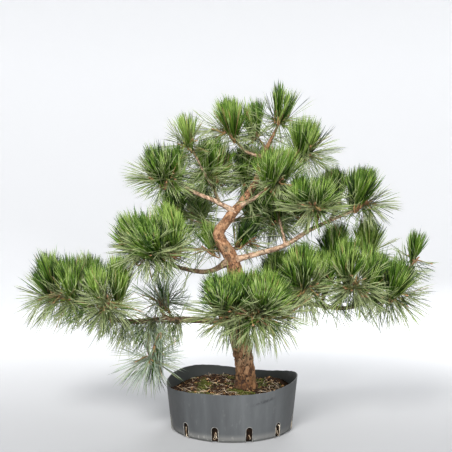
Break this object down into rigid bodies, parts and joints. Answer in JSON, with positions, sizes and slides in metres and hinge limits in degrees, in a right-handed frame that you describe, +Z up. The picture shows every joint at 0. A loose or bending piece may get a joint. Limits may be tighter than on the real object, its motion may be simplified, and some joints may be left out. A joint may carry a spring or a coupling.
{
  "type": "potted japanese black pine bonsai",
  "caption": "Informal upright black pine bonsai with layered needle masses, in a cut-down grey nursery container with foot slots.",
  "frame": {"origin": "centre of the pot's flat underside", "axes": "+Z up, -Y towards the tree's front, +X to the viewer's right"},
  "size_m": [1.0493, 0.4948, 0.9003],
  "materials": {
    "pot_plastic": "semi-matt grey moulded plastic with scuffs and a pale edge at the foot",
    "soil": "dark bark-based potting mix with brown needle litter and patches of moss",
    "trunk_bark": "orange-brown plated bark with dark fissures",
    "bough_bark": "scaly tan and grey-brown bark",
    "needles": "satin green pine needles in dense sprays"
  },
  "bodies": {
    "root": {"pot": "pot_plastic", "soil": "soil", "trunk": "trunk_bark", "bough_left_low": "bough_bark", "bough_left_low_outer": "bough_bark", "bough_left_low_front": "bough_bark", "bough_left_low_hanging": "bough_bark", "bough_left_low_inner": "bough_bark", "bough_left_middle": "bough_bark", "bough_right_middle": "bough_bark", "bough_right_middle_front": "bough_bark", "bough_right_middle_back": "bough_bark", "bough_right_middle_inner": "bough_bark", "bough_right_low": "bough_bark", "bough_right_low_far": "bough_bark", "bough_right_low_inner": "bough_bark", "bough_right_low_front": "bough_bark", "bough_right_low_back": "bough_bark", "bough_right_low_top": "bough_bark", "bough_front": "bough_bark", "bough_top_left": "bough_bark", "bough_top_left_inner": "bough_bark", "bough_top_left_small": "bough_bark", "bough_apex_left": "bough_bark", "bough_apex_right": "bough_bark", "bough_top_right": "bough_bark", "bough_back_left": "bough_bark", "bough_back_right": "bough_bark", "bough_back_low": "bough_bark", "needles_left_low_tip": "needles", "needles_left_low_outer": "needles", "needles_left_low_front": "needles", "needles_left_low_hanging": "needles", "needles_left_low_inner": "needles", "needles_left_middle": "needles", "needles_left_small": "needles", "needles_right_middle_tip": "needles", "needles_right_middle_front": "needles", "needles_right_middle_back": "needles", "needles_right_middle_inner": "needles", "needles_right_low_tip": "needles", "needles_right_low_far": "needles", "needles_right_low_inner": "needles", "needles_right_low_front": "needles", "needles_right_low_back": "needles", "needles_right_low_top": "needles", "needles_front": "needles", "needles_top_left_tip": "needles", "needles_top_left_inner": "needles", "needles_top_left_small": "needles", "needles_apex": "needles", "needles_apex_left": "needles", "needles_apex_middle": "needles", "needles_apex_right": "needles", "needles_top_right": "needles", "needles_top_back": "needles", "needles_back_left": "needles", "needles_back_right": "needles", "needles_back_low": "needles", "needles_right_small": "needles"}
  },
  "joints": []
}
